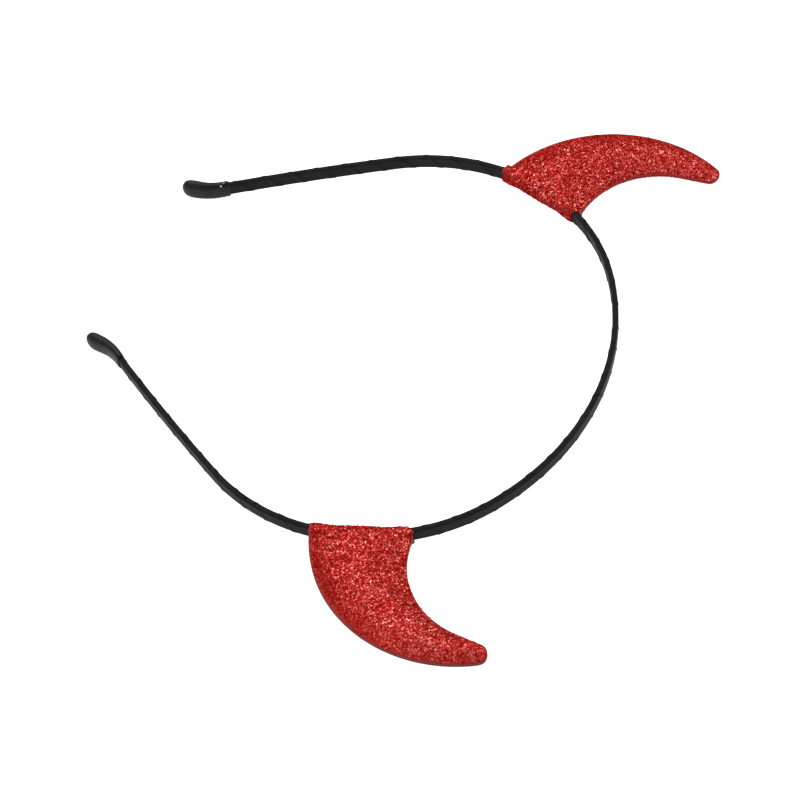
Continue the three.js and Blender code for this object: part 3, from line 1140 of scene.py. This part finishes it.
def flake_points(places, facing, tilt, draw):
    """Eight points for each flake: six round its rim and one above and below its middle, turned at
    random about a direction that leans at random from the cloth's own."""
    count = len(places)
    lean = draw.normal(0, tilt, (count, 3))
    axis = unit(facing + lean)
    side = unit(np.cross(axis, draw.normal(0, 1, (count, 3))))
    other = np.cross(axis, side)
    size = FLAKE_RADIUS * draw.uniform(*FLAKE_SPREAD, count)
    spokes = spoke_ring()
    ring = side[:, None] * spokes[:, :1] + other[:, None] * spokes[:, 1:]
    ring = ring * size[:, None, None]
    points = np.stack([axis * FLAKE_POINT, -axis * FLAKE_POINT], 1)
    middle = places + facing * FLAKE_LIFT
    return middle[:, None] + np.concatenate([ring, points], 1)


def flake_faces(count):
    """Twelve triangles for each flake: its six rim edges, joined to the upper and the lower point."""
    rim = np.arange(FLAKE_SPOKES)
    after = (rim + 1) % FLAKE_SPOKES
    upper = np.stack([rim, after, np.full(FLAKE_SPOKES, FLAKE_SPOKES)], -1)
    lower = np.stack([after, rim, np.full(FLAKE_SPOKES, FLAKE_SPOKES + 1)], -1)
    start = np.arange(count)[:, None, None] * FLAKE_CORNERS
    return (start + np.concatenate([upper, lower])).reshape(-1, 3)


print("a flake has", FLAKE_CORNERS, "points and", len(flake_faces(1)), "faces")

# %% [markdown]
# A flat map gives each flake a place of its own in a picture, for whoever wants to paint or bake them.
# Unwrapping thousands of loose hexagons would be slow, and their map is easy to write down: a board of
# square cells, one for each flake.

# %% Flake map
CELL_RIM = (0.2, 0.4)
UPPER_MIDDLE = (0.25, 0.5)
LOWER_MIDDLE = (0.75, 0.5)


def flake_map(mesh, count):
    """A flat map with one small cell for each flake: its upper face in the left half of the cell and
    its lower face in the right half."""
    cells = math.ceil(math.sqrt(count))
    cell = np.stack(np.divmod(np.arange(count), cells), -1)[:, ::-1]
    rim = spoke_ring() * CELL_RIM
    after = np.roll(rim, -1, 0)
    middle = np.zeros_like(rim)
    upper = np.stack([rim, after, middle], 1) + UPPER_MIDDLE
    lower = np.stack([after, rim, middle], 1) + LOWER_MIDDLE
    local = np.concatenate([upper, lower]).reshape(-1, 2)
    layer = mesh.uv_layers.new(name="OFBake")
    layer.data.foreach_set("uv", ((cell[:, None] + local) / cells).ravel())


print(f"a flake keeps {UPPER_MIDDLE[0] - CELL_RIM[0]:.2f} of a cell clear of the next one")

# %% [markdown]
# A flake is coloured film with a clear face. Its colour shows the red of the dye, its metal shows the
# film beneath, and a clear coat gives the white flash. Flakes differ a little in tone, at random and by the
# painted shade laid on them below, and one number for each flake, stored on its points, picks its colour
# and its roughness.

# %% Flake finish
FLAKE_TONES = [
    (0.0, (0.2, 0.002, 0.001)),
    (0.35, (0.37, 0.01, 0.007)),
    (0.7, (0.54, 0.05, 0.04)),
    (0.92, (0.69, 0.125, 0.102)),
    (1.0, (0.92, 0.29, 0.245)),
]
FLAKE_GLANCE = (0.9, 0.25, 0.2, 1)
FILM_METAL = 0.9
PALE_METAL = 0.1
FILM_ROUGHNESS = 0.6
PALE_SMOOTHING = 0.22
COATED_TONES = (0.9, 1.0)
COAT = 0.5


def flake_finish():
    """Colour from the flake's tone; the paler it is, the smoother and the more like metal."""
    constants = {"Coat Roughness": 0.12, "Specular IOR Level": 0.08, "Specular Tint": FLAKE_GLANCE}
    finish, shade, shader = new_finish("glitter_flakes", constants)
    tone = attribute(shade, "tone")
    colour = shade.add("ShaderNodeValToRGB", {"stops": FLAKE_TONES}, {"Fac": tone})
    shade.feed(shader.inputs["Base Color"], colour)
    shade.feed(shader.inputs["Metallic"], FILM_METAL + PALE_METAL * tone)
    shade.feed(shader.inputs["Roughness"], FILM_ROUGHNESS - PALE_SMOOTHING * tone)
    shade.feed(shader.inputs["Coat Weight"], tone.soft_step(*COATED_TONES) * COAT)
    return finish


film = flake_finish()
print(film.name, "has", len(film.node_tree.nodes), "nodes")

# %% [markdown]
# Fewer flakes are laid along the convex edge, above all on its rolled rim, and along the fold at the base,
# and those laid there are darker: painted shade, where these parts turn away from the light. Towards the
# tip more of the flakes are pale: a random number raised to a lower power comes out higher.

# %% Where the glitter is sparse and painted darker
BARE_RIM = 0.2
SHADE_EDGE = 4.5
SHADE_REACH = (24, 42)
CONVEX_LOSS_AND_SHADE = 0.42
ROLLED_LOSS_AND_SHADE = 0.5
FOLD_LOSS_AND_SHADE = 0.6
FOLD_KEEP_AND_SHADE = 0.3

# Near the convex edge towards the base, and on the rolled rim, the flakes are darkened: painted shade.
convex_shade = (1 - soft_step(outer_inset(flat), 0, SHADE_EDGE)) * (1 - soft_step(flat[..., 1], *SHADE_REACH))
face_keep_and_shade = (1 - CONVEX_LOSS_AND_SHADE * convex_shade) * (1 - ROLLED_LOSS_AND_SHADE * rolled_edge) * (inset_of(flat) > BARE_RIM)
# Beside the base fold, and on the fold itself, the flakes are darkened too: painted shade.
face_keep_and_shade = face_keep_and_shade * (1 - FOLD_LOSS_AND_SHADE * fold_shade)
base = net_shape[1]
fold_keep_and_shade = FOLD_KEEP_AND_SHADE * (1 - cut_wall.reshape(WALL_RINGS, -1)[[0, *range(WALL_RINGS), -1], :base])
print(f"on average {face_keep_and_shade.mean():.2f} of the glitter is left on a face")

# %% [markdown]
# Now the flakes are laid: panel by panel, on the finished cushions, so that they follow the blown-up cloth.
# The front is a little unruly, and the back, which lies on the table, is pressed flatter.

# %% Glitter flakes
FRONT_TILT = math.radians(12)
BACK_TILT = math.radians(6)
FRONT_FLAKES = 9000
BACK_FLAKES = 7000
FOLD_FLAKES = 260
BASE_POWER = 1.15
TIP_POWER = 0.68
PALE_REACH = (14, 44)
DARKEST_SHADE = 0.4

for name, points in horns.items():
    front_net, back_net = points[:2 * skin].reshape(2, *net_shape, 3)
    rings = points[2 * skin:].reshape(WALL_RINGS, -1, 3)[:, :base]
    fold_net = np.concatenate([front_net[:1], rings, back_net[:1]])
    base_middle, _, outward = horn_place(1 if name == "left" else -1)
    panels = [
        ("front", front_net, face_keep_and_shade, FRONT_FLAKES, FRONT_TILT, (0, 0, 1)),
        ("back", back_net, face_keep_and_shade, BACK_FLAKES, BACK_TILT, (0, 0, -1)),
        ("fold", fold_net, fold_keep_and_shade, FOLD_FLAKES, BACK_TILT, (*-outward, 0)),
    ]
    for panel, cloth_net, keep, count, tilt, side in panels:
        places, facing, kept = scatter(cloth_net, keep, count, draw)
        facing = facing * np.sign(facing @ np.array(side))[:, None]
        points = flake_points(places, facing, tilt, draw)
        title = f"glitter_{name}_{panel}"
        piece = new_piece(title, points.reshape(-1, 3), flake_faces(count).tolist(), film)
        piece.data.shade_flat()
        reach = (places[:, :2] - base_middle) @ outward
        power = BASE_POWER + (TIP_POWER - BASE_POWER) * soft_step(reach, *PALE_REACH)
        # The share kept darkens each flake's tone: this is the painted shade along the convex edge and the
        # fold.
        tone = draw.random(count) ** power * (DARKEST_SHADE + (1 - DARKEST_SHADE) * kept)
        store(piece, "tone", np.repeat(tone, FLAKE_CORNERS))
        flake_map(piece.data, count)

# %% [markdown]
# The headband lies on a plain white table. The table glows, so that it comes out white everywhere, and
# its own colour is a pale grey, so that it throws little of the horns' red back at the camera.

# %% Table
FLOOR_SIZE = 3.0
FLOOR_DROP = 0.0002
FLOOR_GREY = (0.6, 0.6, 0.6, 1)
FLOOR_GLOW = 0.9
WHITE = (1, 1, 1, 1)
half = FLOOR_SIZE / 2
floor_mesh = bpy.data.meshes.new("table")
corners = [(-half, -half), (half, -half), (half, half), (-half, half)]
floor_mesh.from_pydata([(x, y, -FLOOR_DROP) for x, y in corners], [], [(0, 1, 2, 3)])
floor = bpy.data.objects.new("table", floor_mesh)
bpy.context.collection.objects.link(floor)
paper = {"Base Color": FLOOR_GREY, "Roughness": 0.9}
glow = {"Emission Color": WHITE, "Emission Strength": FLOOR_GLOW}
white, _, _ = new_finish("white_table", {**paper, **glow})
floor_mesh.materials.append(white)
print(f"table {FLOOR_SIZE} m wide, {FLOOR_DROP / MM} mm under the headband")

# %% [markdown]
# The light is soft: a bright sky all round, a lamp opposite the camera that makes the glitter flash, and
# two wide ones from the sides that fill the shadows.

# %% Light
SKY = 0.55
LAMPS = [
    # name, place, size, power
    ("key", (-0.55, -0.62, 1.05), 0.5, 8.5),
    ("fill", (0.9, -0.5, 0.9), 0.8, 4.6),
    ("back", (-0.5, 0.75, 0.7), 0.6, 4.8),
]

world = bpy.data.worlds.new("sky")
world.use_nodes = True
backdrop = world.node_tree.nodes["Background"]
backdrop.inputs["Color"].default_value = WHITE
backdrop.inputs["Strength"].default_value = SKY
bpy.context.scene.world = world
bpy.context.scene.view_settings.view_transform = "Standard"


def lamp(name, place, size, power):
    """A square lamp that faces the headband."""
    data = bpy.data.lights.new(name, "AREA")
    data.size = size
    data.energy = power
    light = bpy.data.objects.new(name, data)
    light.location = place
    light.rotation_euler = (AIM - Vector(place)).to_track_quat("-Z", "Y").to_euler()
    bpy.context.collection.objects.link(light)


for row in LAMPS:
    lamp(*row)
print(len(LAMPS), "lamps under a sky of strength", SKY)
